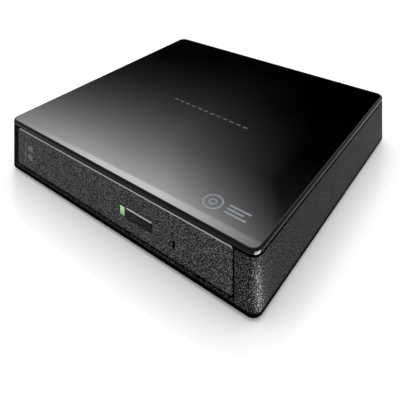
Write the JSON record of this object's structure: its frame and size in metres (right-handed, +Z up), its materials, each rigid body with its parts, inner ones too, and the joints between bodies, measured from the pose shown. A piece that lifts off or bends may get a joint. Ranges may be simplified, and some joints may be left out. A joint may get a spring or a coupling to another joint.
{
  "type": "external optical drive",
  "caption": "Slim desktop disc drive in a rounded-corner case: glossy lid, textured front bezel with eject button and light, and a tray that slides out on telescoping rails.",
  "frame": {"origin": "centre of the case's footprint, on the plane its feet rest on", "axes": "+Z up; the tray opens towards -Y, so the front bezel faces -Y; +X is to the right of someone facing the front"},
  "size_m": [0.144, 0.1376, 0.025],
  "materials": {
    "case_plastic": "fine spark-eroded black grain",
    "lid_gloss": "high-gloss black",
    "bezel_plastic": "fine spark-eroded black grain",
    "button_plastic": "satin black",
    "led_plastic": "clear green, lit",
    "tray_plastic": "satin black",
    "guide_plastic": "satin black",
    "connector_plastic": "satin black",
    "claw_plastic": "natural acetal",
    "chip_plastic": "matt black",
    "circuit_board": "green solder resist",
    "flex_film": "amber film over copper",
    "rubber": "matt black",
    "foam": "soft grey foam",
    "dark_screw": "black zinc",
    "bright_screw": "bright zinc",
    "chassis_steel": "zinc-plated sheet",
    "plated_steel": "tin-plated",
    "polished_rod": "ground and polished",
    "pickup_metal": "die-cast",
    "copper_coil": "enamelled copper wire",
    "lens_glass": "coated lens"
  },
  "bodies": {
    "case": {"bottom_case": "case_plastic", "top_cover": "lid_gloss", "rubber_feet": "rubber", "case_screws": "dark_screw", "drive_mount_screws": "bright_screw", "chassis_pan": "chassis_steel", "chassis_cover": "chassis_steel", "foam_pads": "foam", "left_rail_guide": "guide_plastic", "right_rail_guide": "guide_plastic", "drive_board": "circuit_board", "drive_connector": "connector_plastic", "bridge_board": "circuit_board", "bridge_chips": "chip_plastic", "bridge_connector": "connector_plastic", "usb_socket": "plated_steel", "latch_post": "plated_steel", "flex_cable": "flex_film"},
    "rails": {"left_rail": "chassis_steel", "right_rail": "chassis_steel"},
    "tray": {"tray": "tray_plastic", "tray_bezel": "bezel_plastic", "led_lens": "led_plastic", "front_board": "circuit_board", "eject_switch": "plated_steel", "mech_chassis": "chassis_steel", "damper_bushes": "rubber", "damper_screws": "bright_screw", "guide_rods": "polished_rod", "spindle_motor": "chassis_steel", "sled_motor": "plated_steel", "tray_board": "circuit_board", "latch_magnet": "copper_coil", "mech_cover": "chassis_steel"},
    "eject_button": {"eject_button": "button_plastic"},
    "spindle": {"turntable": "guide_plastic", "disc_claws": "claw_plastic"},
    "pickup": {"pickup_body": "pickup_metal"},
    "lens": {"objective_lens": "lens_glass"},
    "lead_screw": {"lead_screw": "polished_rod"},
    "latch": {"tray_latch": "claw_plastic"}
  },
  "joints": [
    {"name": "tray_slide", "type": "slide", "parent": "case", "child": "tray", "axis": [0, -1, 0], "range_m": [0, 0.127]},
    {"name": "rail_slide", "type": "slide", "parent": "case", "child": "rails", "axis": [0, -1, 0], "range_m": [0, 0.0635]},
    {"name": "eject_press", "type": "slide", "parent": "tray", "child": "eject_button", "axis": [0, 1, 0], "range_m": [0, 0.0008], "stiffness_N_per_m": 300},
    {"name": "spindle_spin", "type": "hinge", "parent": "tray", "child": "spindle", "pos_m": [-0.0013, -0.0025, 0.012], "axis": [0, 0, 1], "continuous": true},
    {"name": "sled_slide", "type": "slide", "parent": "tray", "child": "pickup", "axis": [-0.7071, -0.7071, 0], "range_m": [0, 0.034]},
    {"name": "focus_move", "type": "slide", "parent": "pickup", "child": "lens", "axis": [0, 0, 1], "range_m": [-0.0005, 0.0005], "stiffness_N_per_m": 50},
    {"name": "lead_screw_turn", "type": "hinge", "parent": "tray", "child": "lead_screw", "pos_m": [0.01044, -0.02272, 0.0089], "axis": [-0.7071, -0.7071, 0], "range_deg": [0, 4100]},
    {"name": "latch_swing", "type": "hinge", "parent": "tray", "child": "latch", "pos_m": [0.0517, -0.046, 0.008], "axis": [0, 0, 1], "range_deg": [-8, 0]}
  ],
  "couplings": [
    {"joint": "rail_slide", "follows": "tray_slide", "ratio": 0.5},
    {"joint": "lead_screw_turn", "follows": "sled_slide", "rad_per_m": 2094.4}
  ]
}
